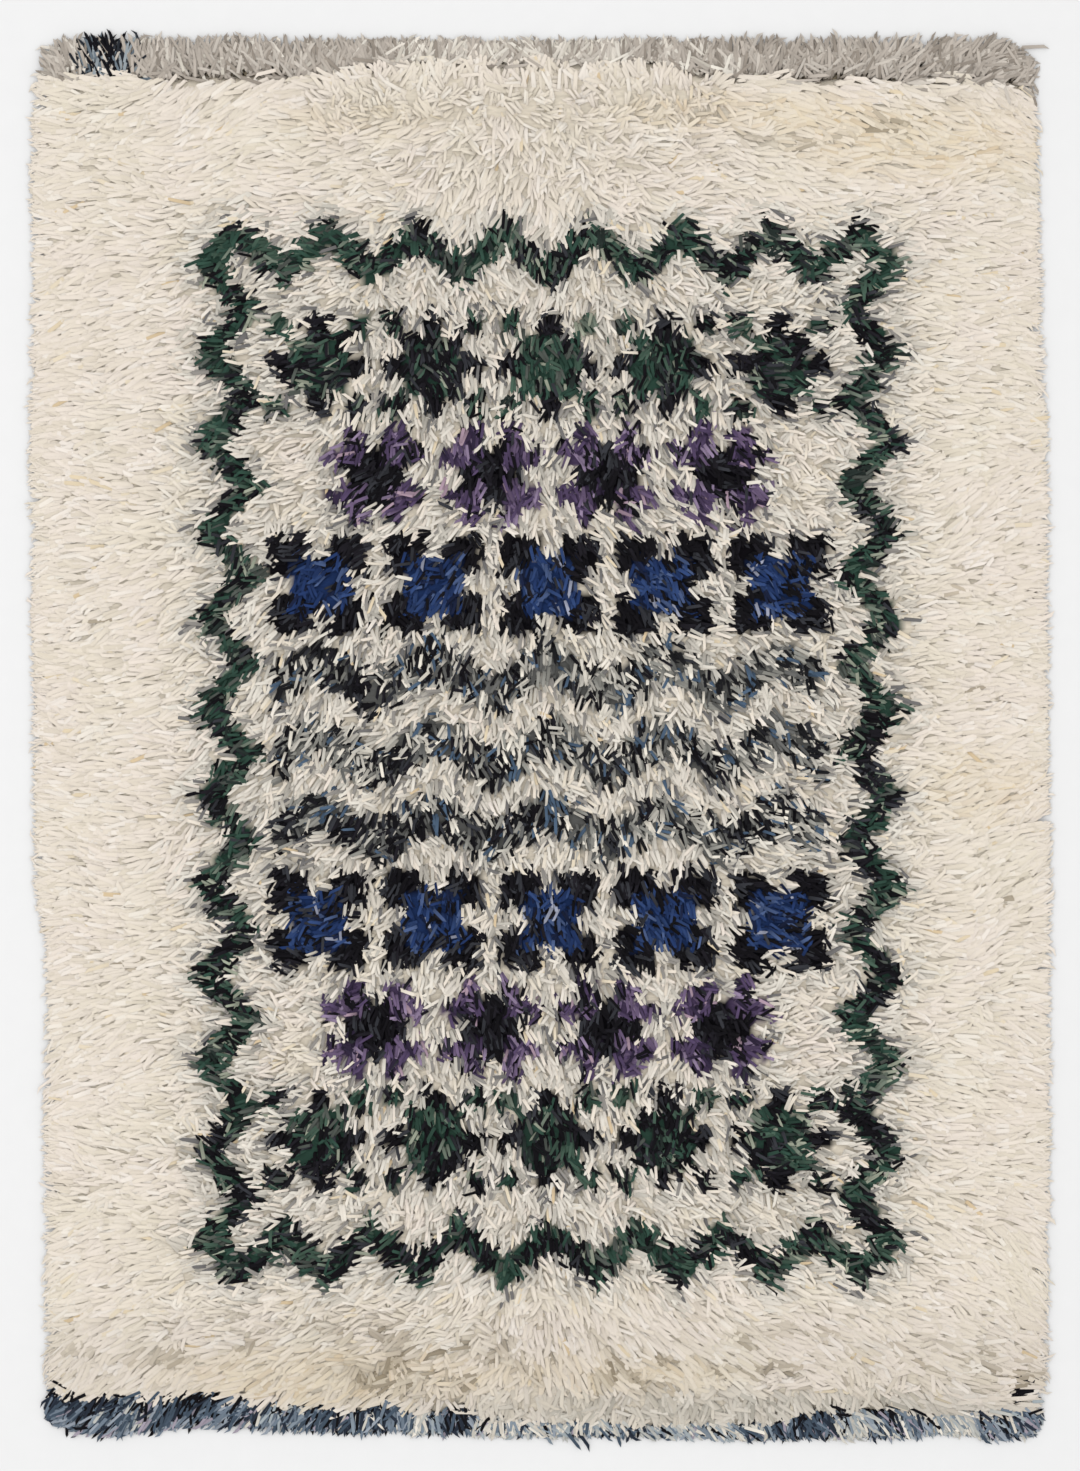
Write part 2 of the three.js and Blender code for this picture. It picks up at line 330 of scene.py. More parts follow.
FALL_WIDTH = 0.110  # the pile thins towards the rim over this width
FALL_ROUNDNESS = 1.8
LUMPS = {"height": 0.003, "spacing": 0.032}
FIELD_STRIPS = 5  # the field is modelled in strips, because of its many locks
FIELD_SEED = 2026
NOISE_HILLS = 256  # each way, more than the rug has room for


def steady_noise(seed, spacing):
    """Smooth noise from -1 to 1 over the rug, with hills about this far apart."""
    grid = np.random.default_rng(seed).uniform(-1, 1, (NOISE_HILLS, NOISE_HILLS))

    def noise(x, y):
        column, across = np.divmod(x / spacing + NOISE_HILLS / 2, 1)
        row, along = np.divmod(y / spacing + NOISE_HILLS / 2, 1)
        column = column.astype(int)
        row = row.astype(int)
        across = across * across * (3 - 2 * across)
        along = along * along * (3 - 2 * along)
        near = grid[row, column] * (1 - across) + grid[row, column + 1] * across
        far = grid[row + 1, column] * (1 - across) + grid[row + 1, column + 1] * across
        return near * (1 - along) + far * along

    return noise


# The chart of the dyed knots: a wolf's-tooth border round rows of rosettes, flowers and stars set
# between one another, with three chevrons over the middle, the same towards both ends
CHART = {"left": -0.485, "right": 0.510, "foot": -0.768, "head": 0.718}
TEETH = {"inset": 0.052, "depth": 0.028, "pitch": 0.12275, "thickness": 0.045, "yarn": "green"}
CHEVRONS = {"pitch": 0.104, "depth": 0.026, "thickness": 0.060, "inset": 0.116, "yarn": "heather"}
MOTIF_PITCH = 0.160
ROSETTE = ["kk.kk", "kccck", ".ccc.", "kccck", "kk.kk"]
FLOWER = [".c.c.", "cckcc", ".kkk.", "cckcc", ".c.c."]
STAR = ["c.k.c", ".ccc.", "kccck", ".ccc.", "c.k.c"]
# Rows of motifs: how far out from the middle of the rug, the size of a letter's place, how many
# side by side, and the yarn of the letter c, where k is black and a full stop is cream
MOTIF_ROWS = rows_of(
    "out motif cell number yarn",
    (0.232, ROSETTE, 0.0270, 5, "blue"),
    (0.383, FLOWER, 0.0275, 4, "purple"),
    (0.535, STAR, 0.0280, 5, "green"),
)
YARNS = {
    "cream": [("#dfd5c8", 0.44), ("#dcd2c3", 0.34), ("#e3dbd0", 0.12), ("#d6ccbc", 0.10)],
    "warm": [("#dccfb8", 0.50), ("#d8c8ac", 0.32), ("#cdb897", 0.18)],
    "cool": [("#d3ccc1", 0.42), ("#c7c0b4", 0.32), ("#dad4c9", 0.26)],
    "ash": [("#bab5aa", 0.38), ("#a8a398", 0.30), ("#cbc5ba", 0.32)],
    # fleck: brown-grey yarn for the small flecks, and also for the painted shade between tufts
    "fleck": [("#b0a38e", 0.40), ("#8c806c", 0.32), ("#c6bba8", 0.28)],
    "smudged": [("#bbb6ac", 0.32), ("#a6a198", 0.26), ("#8b8782", 0.24), ("#6d6b6a", 0.18)],
    "black": [("#0b090e", 0.52), ("#18161c", 0.24), ("#2f3035", 0.24)],
    "green": [
        ("#2b4339", 0.26), ("#3f5448", 0.20), ("#4a4f4a", 0.12), ("#667064", 0.10),
        ("#8d9282", 0.06), ("#212a27", 0.14), ("#0d0c10", 0.12),
    ],
    "blue": [
        ("#1d3059", 0.34), ("#2a3e68", 0.26), ("#435479", 0.14), ("#8b8fa0", 0.04),
        ("#131c36", 0.14), ("#0b0a0f", 0.08),
    ],
    "purple": [
        ("#4a3c58", 0.34), ("#62526d", 0.26), ("#81718a", 0.14), ("#9d8694", 0.06),
        ("#2c2338", 0.14), ("#0e0c12", 0.06),
    ],
    "heather": [
        ("#5a5a58", 0.20), ("#85847e", 0.18), ("#b3afa6", 0.18), ("#d2ccc0", 0.14),
        ("#44566a", 0.12), ("#17171a", 0.18),
    ],
}
CHART_YARNS = ["cream", "black", "green", "blue", "purple", "heather"]
# The share of black locks among the dyed ones, which is largest in the green figures and goes up
# and down in patches, within limits
BLACK_SHARE = 0.16
GREEN_BLACK_SHARE = 0.36
BLACK_PATCHES = {"spacing": 0.045, "swing": 0.6, "least": 0.04, "most": 0.8}


def zigzag(place, pitch):
    """Straight slopes up and down between -1 and 1."""
    return 4 * np.abs((place / pitch) % 1 - 0.5) - 1


def read_chart(x, y):
    """The number in CHART_YARNS of the yarn that the chart has at each place."""
    yarn = np.zeros(len(x), int)
    x = x - (CHART["left"] + CHART["right"]) / 2
    y = y - (CHART["foot"] + CHART["head"]) / 2
    inset_x = (CHART["right"] - CHART["left"]) / 2 - np.abs(x)
    inset_y = (CHART["head"] - CHART["foot"]) / 2 - np.abs(y)
    inset = np.minimum(inset_x, inset_y)
    way_round = np.where(inset_x < inset_y, y, x)
    teeth = TEETH["inset"] + TEETH["depth"] * zigzag(way_round, TEETH["pitch"])
    yarn[np.abs(inset - teeth) < TEETH["thickness"] / 2] = CHART_YARNS.index(TEETH["yarn"])
    for place in (-1, 0, 1):
        chevron = place * CHEVRONS["pitch"] + CHEVRONS["depth"] * zigzag(x, MOTIF_PITCH)
        here = (inset > CHEVRONS["inset"]) & (np.abs(y - chevron) < CHEVRONS["thickness"] / 2)
        yarn[here] = CHART_YARNS.index(CHEVRONS["yarn"])
    for row in MOTIF_ROWS:
        size = len(row["motif"])
        line = np.floor((np.abs(y) - row["out"]) / row["cell"] + size / 2).astype(int)
        for number in range(row["number"]):
            middle = (number - (row["number"] - 1) / 2) * MOTIF_PITCH
            column = np.floor((x - middle) / row["cell"] + size / 2).astype(int)
            for motif_line, letters in enumerate(row["motif"]):
                for motif_column, letter in enumerate(letters):
                    here = (line == motif_line) & (column == motif_column)
                    if letter == "k":
                        yarn[here] = CHART_YARNS.index("black")
                    if letter == "c":
                        yarn[here] = CHART_YARNS.index(row["yarn"])
    return yarn


def pick(name, dice):
    """A colour from the named yarns for each throw of the dice, from 0 to 1."""
    shares = np.cumsum([share for _, share in YARNS[name]])
    colours = np.array([linear(colour)[:3] for colour, _ in YARNS[name]])
    return colours[np.searchsorted(shares[:-1] / shares[-1], dice)]


lumps = steady_noise(seed=4, spacing=LUMPS["spacing"])


def pile_height(x, y):
    """How high the pile lies: nearly level, with lumps, and falling away to the rim."""
    inwards = np.minimum.reduce(
        [x - side("left", y), side("right", y) - x, y - end("foot", x), end("head", x) - y]
    )
    share = 1 - (1 - np.clip(inwards / FALL_WIDTH, 0, 1)) ** FALL_ROUNDNESS
    return RIM_HEIGHT + (PILE_HEIGHT - RIM_HEIGHT + LUMPS["height"] * lumps(x, y)) * share


# Each lock is a three-sided strand with a flat upper side: a root, a ring where it bends over, a
# ring behind its blunt tip, and the tip. run is the share of its reach, swing that of its curve to
# one side, rise its height against the pile's, width its share of the lock's width, and map its
# place along the maps.
LOCK_PLAN = rows_of(
    "run swing rise width map",
    (0.00, 0.0, 0.00, 0.0, 0.00),
    (0.24, 1.0, 0.96, 1.0, 0.30),
    (0.84, 0.6, 1.00, 0.9, 0.88),
    (1.00, 0.0, 0.97, 0.0, 1.00),
)
LOCK_FLATNESS = 0.34  # thickness against width
NORMAL_LIFT = 5.0  # loose fibres on a lock send light up, so that its sides look less dark
SWING = 0.12
LIFT = (-1, 0.5)  # how far a lock lies below or above the pile's top, times its unevenness
ROOT_DEPTH = 0.001  # of a lock's root in the cloth
RIM_STRAY = 0.004  # how unevenly the tips end at the rim
STRAND_FREEDOM = 0.040  # how far past the rim a loose strand may reach
TIP_DROP = 0.0016
LEAST_HEIGHT = 0.0014
UNEVENNESS = {"lying": 0.0012, "standing": 0.0026}  # how much the height of the locks differs
SIDE_SHARES = (0.0, 0.15, 0.30, 1.0)  # where two lower sides and the upper one lie on the maps
rings = len(LOCK_PLAN) - 2
TIP = 3 * rings + 1
POINTS_A_LOCK = TIP + 1
PLAN_ROW = [0] + [1 + corner // 3 for corner in range(3 * rings)] + [rings + 1]  # of each point
lock_faces = []
lock_map = []
for corner in range(3):
    beside = (corner + 1) % 3
    start, stop = SIDE_SHARES[corner:corner + 2]
    middle = (start + stop) / 2
    levels = [plan["map"] for plan in LOCK_PLAN]
    lock_faces.append((0, 1 + beside, 1 + corner))
    lock_map.append(((middle, levels[0]), (stop, levels[1]), (start, levels[1])))
    for ring in range(1, rings):
        near = 3 * ring - 2
        far = near + 3
        lower, upper = levels[ring:ring + 2]
        lock_faces.append((near + corner, near + beside, far + beside))
        lock_map.append(((start, lower), (stop, lower), (stop, upper)))
        lock_faces.append((near + corner, far + beside, far + corner))
        lock_map.append(((start, lower), (stop, upper), (start, upper)))
    lock_faces.append((TIP - 3 + corner, TIP - 3 + beside, TIP))
    lock_map.append(((start, levels[-2]), (stop, levels[-2]), (middle, levels[-1])))
lock_faces = np.array(lock_faces)
lock_map = np.array(lock_map).reshape(-1, 2)


def let_loose(strands, root, heading, reach, past_rim):
    """Makes the last locks into the strands, which have worked loose and reach past the rim."""
    for at, strand in enumerate(strands, 1):
        root[-at] = (strand["across"], strand["along"])
        heading[-at] = math.radians(strand["heading"])
        reach[-at] = strand["reach"]
        past_rim[-at] = STRAND_FREEDOM


def fall_of(root, heading, reach, past_rim, unevenness, rng):
    """The places along each lock, which stands up from its knot, bends over and lies down on the
    locks before it, or on the floor at the rim."""
    count = len(root)
    tip = root + reach[:, None] * np.stack([np.cos(heading), np.sin(heading)], 1)
    x, y = tip.T
    tip[:, 0] = np.clip(x, side("left", y) - past_rim, side("right", y) + past_rim)
    tip[:, 1] = np.clip(y, end("foot", x) - past_rim, end("head", x) + past_rim)
    run = tip - root
    aside = np.stack([-run[:, 1], run[:, 0]], 1) * rng.normal(0, SWING, count)[:, None]
    lift = rng.uniform(*LIFT, count) * unevenness
    stations = np.empty((count, len(LOCK_PLAN), 3))
    for at, plan in enumerate(LOCK_PLAN):
        x, y = (root + run * plan["run"] + aside * plan["swing"]).T
        stations[:, at] = np.stack([x, y, pile_height(x, y) * plan["rise"] + lift], 1)
    stations[:, 0, 2] = CLOTH_THICKNESS - ROOT_DEPTH
    stations[:, -1, 2] -= rng.uniform(0, TIP_DROP, count)
    stations[:, 1:, 2] = np.maximum(stations[:, 1:, 2], LEAST_HEIGHT)
    return stations


PLY_PITCH = 0.0019
PLY_SLANT = 0.3  # how fast the plies go round the yarn
SLANT_PERIOD = math.pi / 5  # of the wave texture's diagonal bands at a scale of 1
PLY_SHIFT = 0.37  # how far each lock's plies are out of step with the last one's
BAKE_MARGIN = 0.1  # round a lock's cell of the bake's map


def combed_wool():
    """Loosely twisted two-ply wool. It gives the eye soft matt strands with a faint bloom, each a
    little streaky along its plies, with painted shade in the grooves between the plies."""
    material, tree, shader = new_material("combed_wool", roughness=0.9, specular=0.12)
    dye = add_node(tree, "ShaderNodeAttribute", {"attribute_name": "dye"}, {})
    along = add_node(tree, "ShaderNodeUVMap", {"uv_map": "yarn"}, {})
    slanted = add_node(
        tree,
        "ShaderNodeVectorMath",
        {"operation": "MULTIPLY"},
        {0: along.outputs["UV"], 1: (1, PLY_SLANT, 1)},
    )
    plies = add_node(
        tree,
        "ShaderNodeTexWave",
        {"bands_direction": "DIAGONAL"},
        {"Vector": slanted.outputs["Vector"], "Scale": SLANT_PERIOD / PLY_PITCH, "Distortion": 1.5},
    )
    # The ply streaks are darker where the plies' relief is low: painted shade in the grooves between the
    # plies.
    ply_streak_and_groove_shade = add_node(
        tree, "ShaderNodeMapRange", {}, {"Value": plies.outputs["Fac"], "To Min": 0.94, "To Max": 1.03}
    )
    yarn = add_node(
        tree,
        "ShaderNodeVectorMath",
        {"operation": "SCALE"},
        {0: dye.outputs["Color"], "Scale": ply_streak_and_groove_shade.outputs["Result"]},
    )
    tree.links.new(yarn.outputs["Vector"], shader.inputs["Base Color"])
    height = {"Height": plies.outputs["Fac"], "Strength": 0.4, "Distance": 0.0004}
    relief = add_node(tree, "ShaderNodeBump", {}, height)
    tree.links.new(relief.outputs["Normal"], shader.inputs["Normal"])
    shader.inputs["Sheen Weight"].default_value = 0.04
    shader.inputs["Sheen Roughness"].default_value = 0.5
    return material


wool = combed_wool()


def tied_locks(name, stations, width, dye, mottle, node):
    """One piece from many locks: the places along each one's middle, its width, its colour, and
    how unevenly it took the dye along its length."""
    count = len(stations)
    forward = np.gradient(stations, axis=1)
    forward /= np.linalg.norm(forward, axis=2, keepdims=True)
    sideways = np.stack([-forward[:, :, 1], forward[:, :, 0], np.zeros(forward.shape[:2])], 2)
    sideways /= np.linalg.norm(sideways, axis=2, keepdims=True)
    points = np.empty((count, POINTS_A_LOCK, 3))
    points[:, 0] = stations[:, 0]
    points[:, TIP] = stations[:, -1]
    normals = np.empty(points.shape)
    for ring in range(1, rings + 1):
        ring_width = (width * LOCK_PLAN[ring]["width"])[:, None]
        up = np.cross(forward[:, ring], sideways[:, ring]) * ring_width * LOCK_FLATNESS
        half = sideways[:, ring] * ring_width / 2
        points[:, 3 * ring - 2] = stations[:, ring] - half + up / 3
        points[:, 3 * ring - 1] = stations[:, ring] - up * 2 / 3
        points[:, 3 * ring] = stations[:, ring] + half + up / 3
        normals[:, 3 * ring - 2] = up * NORMAL_LIFT - half
        normals[:, 3 * ring - 1] = -up
        normals[:, 3 * ring] = up * NORMAL_LIFT + half
    points[:, :, 2] = np.maximum(points[:, :, 2], 0)
    normals[:, 0] = (0, 0, -1)
    normals[:, TIP] = normals[:, TIP - 3] + normals[:, TIP - 1]
    normals /= np.linalg.norm(normals, axis=2, keepdims=True)
    faces = (np.arange(count)[:, None, None] * POINTS_A_LOCK + lock_faces).reshape(-1, 3)

    mesh = bpy.data.meshes.new(name)
    mesh.vertices.add(count * POINTS_A_LOCK)
    mesh.vertices.foreach_set("co", points.ravel())
    mesh.loops.add(faces.size)
    mesh.loops.foreach_set("vertex_index", faces.ravel())
    mesh.polygons.add(len(faces))
    mesh.polygons.foreach_set("loop_start", np.arange(0, faces.size, 3))
    mesh.update(calc_edges=True)
    mesh.shade_smooth()
    mesh.normals_split_custom_set_from_vertices(normals.reshape(-1, 3))

    colours = np.ones((count, POINTS_A_LOCK, 4))
    taken = 1 + mottle[:, None] * np.random.default_rng(count).uniform(-1, 1, (count, rings + 2))
    colours[:, :, :3] = dye[:, None, :] * taken[:, PLAN_ROW, None]
    mesh.attributes.new("dye", "FLOAT_COLOR", "POINT")
    mesh.attributes["dye"].data.foreach_set("color", colours.ravel())

    # The yarn map is in metres round and along the yarn, and the bake's map has a cell for each lock.
    length = np.linalg.norm(np.diff(stations, axis=1), axis=2).sum(1)
    size = np.stack([width / (SIDE_SHARES[3] - SIDE_SHARES[2]), length], 1)[:, None, :]
    yarn_map = lock_map * size + np.arange(count)[:, None, None] * PLY_PITCH * PLY_SHIFT
    mesh.uv_layers.new(name="yarn", do_init=False).uv.foreach_set("vector", yarn_map.ravel())
    cells = math.ceil(math.sqrt(count))
    cell = np.stack(np.divmod(np.arange(count), cells), 1)[:, None, :]
    bake_map = (cell + BAKE_MARGIN + (1 - 2 * BAKE_MARGIN) * lock_map) / cells
    mesh.uv_layers.new(name="OFBake", do_init=False).uv.foreach_set("vector", bake_map.ravel())

    mesh.materials.append(wool)
    piece = new_object(name, mesh)
    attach(piece, "root")
    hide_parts(node)
    return piece


# The way the pile lies, in degrees from across to the right, as it was combed at places on the
# rug: to the nearer long side, and towards the foot between them
COMBING = rows_of(
    "across along heading",
    (-0.62, 0.82, 184),
    (-0.62, 0.42, 183),
    (-0.62, 0.00, 188),
    (-0.62, -0.42, 187),
    (-0.62, -0.84, 196),
    (-0.32, 0.82, 196),
    (-0.30, 0.10, 222),
    (-0.32, -0.86, 190),
    (-0.02, 0.60, 262),
    (0.02, 0.00, 274),
    (-0.02, -0.60, 268),
    (-0.16, -0.86, 200),
    (0.08, -0.86, 334),
    (0.28, 0.82, 350),
    (0.30, 0.10, 316),
    (0.30, -0.86, 338),
    (0.62, 0.82, 350),
    (0.62, 0.42, 6),
    (0.62, 0.00, 7),
    (0.62, -0.42, 358),
    (0.62, -0.84, 336),
)
COMB_WIDTH = 0.12  # how far each row of the table reaches
# Near the middle of each seam the pile turns out over the end band
TURNED = rows_of(
    "seam middle half_width blend strength",
    ("head_seam", -0.03, 0.16, 0.12, 4.0),
    ("foot_seam", 0.10, 0.20, 0.30, 1.6),
)
SEAM_TURN = {"all": 0.040, "none": 0.075}  # how near the seam it does so
# Places beside the chart where the pile stands up in curls
CURLED = rows_of(
    "across along half_width half_depth",
    (0.00, 0.80, 0.26, 0.055),
    (-0.20, -0.80, 0.28, 0.040),
)
CURL_REACH = 1.4  # to where the curls end, in half sizes of the place
CURL_MOST = 0.8
TURNED_STANDING = 0.5  # how much the pile stands up where it turns out over a band
PARTING_STEP = 0.015  # the lay is compared over this distance to find where it parts
PARTING = {"least": 6, "full": 22}  # how fast it has to part, per metre, to be ruffled
WAVE = {"spacing": 0.15, "turn": 0.35}
SWIRL = {"spacing": 0.050, "turn": 0.26}
KNOT_SPRAY = math.radians(9)
LOCK_SPRAY = math.radians(9)
RUFFLED_SPRAY = math.radians(65)
CHART_SPRAY = math.radians(28)
TURNED_SPRAY = math.radians(24)
CHART_BLEND = 0.080
# A tuft that sticks out of the right side near the foot
FIELD_STRANDS = rows_of(
    "across along heading reach",
    (0.672, -0.868, 12, 0.046),
    (0.668, -0.872, 6, 0.044),
    (0.670, -0.877, -3, 0.038),
)
wave = steady_noise(seed=1, spacing=WAVE["spacing"])
swirl = steady_noise(seed=3, spacing=SWIRL["spacing"])


def turning(x, to_seam, turned):
    """How much the pile turns out over an end band, from 0 to 1."""
    near = (SEAM_TURN["none"] - to_seam) / (SEAM_TURN["none"] - SEAM_TURN["all"])
    aside = (np.abs(x - turned["middle"]) - turned["half_width"]) / turned["blend"]
    return np.clip(near, 0, 1) * np.clip(1 - aside, 0, 1)


def combed(x, y):
    """The heading of the pile as it was combed."""
    east = np.zeros(len(x))
    north = np.zeros(len(x))
    reached = np.zeros(len(x))
    for row in COMBING:
        away = np.hypot(x - row["across"], y - row["along"]) / COMB_WIDTH
        nearness = np.exp(-away * away / 2)
        east += nearness * math.cos(math.radians(row["heading"]))
        north += nearness * math.sin(math.radians(row["heading"]))
        reached += nearness
    east /= reached
    north /= reached
    for turned in TURNED:
        away = end(turned["seam"], x) - y
        north += np.sign(away) * turned["strength"] * turning(x, np.abs(away), turned)
    return np.arctan2(north, east) + WAVE["turn"] * wave(x, y) + SWIRL["turn"] * swirl(x, y)


def parting(x, y):
    """How ruffled the pile is, from 0 to 1, because the lay parts there."""
    step = PARTING_STEP
    rate = np.cos(combed(x + step, y)) - np.cos(combed(x - step, y))
    rate += np.sin(combed(x, y + step)) - np.sin(combed(x, y - step))
    rate /= 2 * step
    return np.clip((rate - PARTING["least"]) / (PARTING["full"] - PARTING["least"]), 0, 1)


def curling(x, y):
    """How much the pile curls beside the chart, from 0 to 1."""
    curled = np.zeros(len(x))
    for place in CURLED:
        away = np.hypot(
            (x - place["across"]) / place["half_width"], (y - place["along"]) / place["half_depth"]
        )
        curled = np.maximum(curled, np.clip(CURL_REACH - away, 0, CURL_MOST))
    return curled


def in_chart_share(x, y):
    """1 well inside the chart, 0 well outside, and between them near its edge."""
    inside = np.minimum.reduce(
        [x - CHART["left"], CHART["right"] - x, y - CHART["foot"], CHART["head"] - y]
    )
    return np.clip(0.5 + inside / CHART_BLEND, 0, 1)


rng = np.random.default_rng(FIELD_SEED)
knot_x, knot_y = np.meshgrid(np.arange(*KNOTS, KNOT_PITCH), np.arange(*ROWS, ROW_PITCH))
knot_x = (knot_x + rng.uniform(-KNOT_STRAY, KNOT_STRAY, knot_x.shape) * KNOT_PITCH).ravel()
knot_y = (knot_y + rng.uniform(-ROW_STRAY, ROW_STRAY, knot_y.shape) * ROW_PITCH).ravel()
tied = (knot_x > side("left", knot_y) + KNOT_INSET) & (knot_x < side("right", knot_y) - KNOT_INSET)
# Thin locks that have worked loose from the outermost knots soften the rim.
rim_y = rng.uniform(*RIM_ENDS, RIM_LOCKS)
rim_inset = KNOT_INSET + rng.uniform(*RIM_SCATTER, RIM_LOCKS)
at_left = rng.uniform(0, 1, RIM_LOCKS) < 0.5
rim_x = np.where(at_left, side("left", rim_y) + rim_inset, side("right", rim_y) - rim_inset)
knot_x = np.concatenate([knot_x[tied], rim_x])
knot_y = np.concatenate([knot_y[tied], rim_y])
loose = np.arange(len(knot_x)) >= len(knot_x) - RIM_LOCKS
in_chart = in_chart_share(knot_x, knot_y)
ruffled = parting(knot_x, knot_y)
curled = curling(knot_x, knot_y)
spray = KNOT_SPRAY + (CHART_SPRAY - KNOT_SPRAY) * np.maximum(in_chart, curled)
spray += (RUFFLED_SPRAY - KNOT_SPRAY) * ruffled
turned_out = np.zeros(len(knot_x))
for turned in TURNED:
    away = np.abs(end(turned["seam"], knot_x) - knot_y)
    turned_out = np.maximum(turned_out, turning(knot_x, away, turned))
spray += TURNED_SPRAY * turned_out
knot_heading = combed(knot_x, knot_y) + rng.normal(0, 1, len(knot_x)) * spray
# The locks of the last cream knots are clipped to lie over the end bands by the overhang only.
overhang = steady_noise(seed=9, spacing=OVERHANG["spacing"])(knot_x, knot_y)
overhang = OVERHANG["most"] + OVERHANG["uneven"] * overhang
to_seam = np.minimum(end("head_seam", knot_x) - knot_y, knot_y - end("foot_seam", knot_x))
outwards = MEAN_REACH * np.sin(knot_heading) * np.sign(knot_y)
room = (to_seam + overhang) / np.maximum(outwards, LEAST_OUTWARDS)
kept = (to_seam > SEAM_INSET) & (room > LEAST_CLIP)
clipped = np.clip(room, LEAST_CLIP, 1)[kept]
knot_x = knot_x[kept]
knot_y = knot_y[kept]
knot_heading = knot_heading[kept]
loose = loose[kept]
standing = np.maximum.reduce([in_chart, ruffled, curled, TURNED_STANDING * turned_out])[kept]
ruffled = ruffled[kept]

# Where the pile stands up, its locks reach less far and end at uneven heights, and the yarn has
# split up finer.
locks = np.select(
    [loose, ruffled > SPLIT_FROM, standing > SPLIT_FROM],
    [1, LOCKS_A_PARTED_KNOT, LOCKS_A_SPLIT_KNOT],
    LOCKS_A_KNOT,
)
knot = np.repeat(np.arange(len(knot_x)), locks)
count = len(knot)
root = np.stack([knot_x[knot], knot_y[knot]], 1)
root += rng.uniform(-KNOT_RADIUS, KNOT_RADIUS, (count, 2))
standing = standing[knot]
heading = knot_heading[knot] + rng.normal(0, 1, count) * LOCK_SPRAY * (1 + ruffled[knot])
reach = rng.uniform(*LOCK_REACH, count) * (1 - SHORTER["standing"] * standing)
reach *= 1 - SHORTER["ruffled"] * ruffled[knot]
reach *= clipped[knot]
past_rim = rng.normal(0, RIM_STRAY, count)
let_loose(FIELD_STRANDS, root, heading, reach, past_rim)
unevenness = UNEVENNESS["lying"] + UNEVENNESS["standing"] * standing
stations = fall_of(root, heading, reach, past_rim, unevenness, rng)
width = rng.uniform(*LOCK_WIDTH, count) * (1 - NARROWER * standing)
width = np.where(loose[knot], rng.uniform(*RIM_LOCK_WIDTH, count), width)

# The yarn of each lock is the chart's where the lock shows, and half the knots have all their
# locks from one hank. Patches of the cream have another yarn mixed in. A patch is at its full share
# up to 0.38 of its length and depth, and ends at 0.77.
PATCH_MIDDLE = 2.0
PATCH_SLOPE = 2.6
LEAST_MIXED = 0.4  # of the patch's share, in the locks that have least of it
PATCHES = rows_of(
    "across along length depth share yarn",
    (0.29, 0.862, 0.32, 0.045, 0.75, "warm"),
    (0.53, 0.820, 0.30, 0.090, 0.75, "warm"),
    (-0.24, 0.850, 0.20, 0.050, 0.45, "warm"),
    (0.61, -0.070, 0.14, 0.090, 0.55, "warm"),
    (-0.29, -0.885, 0.38, 0.060, 0.85, "warm"),
    (0.10, -0.885, 0.30, 0.040, 0.55, "warm"),
    (0.30, -0.935, 0.70, 0.040, 1.00, "ash"),
)
# Patches where soft brown-grey marks are painted on the cream pile as the shade between its
# tufts, wider than they are deep. A mark is where a noise from -1 to 1 is above the least.
PAINTED_TUFT_SHADE = rows_of(
    "across along length depth least",
    (-0.03, -0.860, 1.10, 0.110, 0.36),
    (-0.13, -0.882, 0.24, 0.060, 0.10),
    (0.16, -0.880, 0.18, 0.050, 0.10),
    (0.65, -0.872, 0.09, 0.060, 0.04),
    (0.40, 0.850, 0.50, 0.080, 0.42),
)
TUFT_SHADE_SIZE = (0.028, 0.011)
TUFT_SHADE_BLEND = 0.22
TUFT_SHADE_DEPTH = 0.84  # how much of its colour a lock takes from the painted shade
LEAST_TUFT_SHADE = 0.6  # of that depth, in the locks that have least of it
# One black knot near the right end of the foot
BLACK_KNOT = {"across": 0.674, "along": -0.902, "length": 0.016, "depth": 0.012, "least": 0.3}
# Places with a small brown fleck
FLECKS = rows_of(
    "across along",
    (-0.595, 0.324),
    (-0.603, 0.160),
    (-0.600, -0.089),
    (-0.574, -0.319),
    (0.235, 0.760),
    (0.586, 0.201),
    (0.602, 0.062),
    (0.586, -0.102),
    (0.519, -0.124),
    (0.636, -0.236),
    (-0.142, -0.890),
    (0.190, -0.868),
    (0.519, -0.865),
    (0.668, -0.885),
)
FLECK_SIZE = 0.014
FLECK_PROPORTION = 1.6  # its width against its depth
FLECK_DEPTH = 0.75  # how much of its colour a lock takes from the fleck
FLECK_SHARE = 0.40
STRAY_SHARE = 0.015  # of locks of the warm yarn, all over the cream
COOL_WIDTH = 0.030  # the cream is of a cooler yarn this near to the dyed knots
COOL_SHARE = 0.75
SMUDGE_WIDTH = 0.014  # dyed fibres have rubbed off on the cream this near to them
SMUDGE_SHARE = 0.42
LOCK_TINT = (0.975, 1.025)
ONE_HANK_SHARE = 0.5
SHOWS_AT = 0.6  # how far along it, from root to tip, a lock shows most
SHOWS_STRAY = 0.003
FOOT_DARKENING = {"from": -0.78, "over": 0.06, "darker": 0.09}  # the cream is darker near the foot
CREAM_MOTTLE = 0.03
DYED_MOTTLE = 0.32
TINT = {"spacing": 0.055, "redder": 0.008, "bluer": 0.020}  # cream varies between rosy and straw


def inside(patch, places):
    """1 well inside a patch of the pile, and falling to 0 at its rim."""
    x, y = places.T
    away = np.hypot((x - patch["across"]) / patch["length"], (y - patch["along"]) / patch["depth"])
    return np.clip(PATCH_MIDDLE - PATCH_SLOPE * away, 0, 1)


def near_dyed(places, distance):
    """Whether the chart has a dyed yarn at this distance from each place, in eight directions."""
    found = np.zeros(len(places), bool)
    for bearing in np.arange(8) * math.pi / 4:
        step = distance * np.array([math.cos(bearing), math.sin(bearing)])
        found |= read_chart(*(places + step).T) > 0
    return found


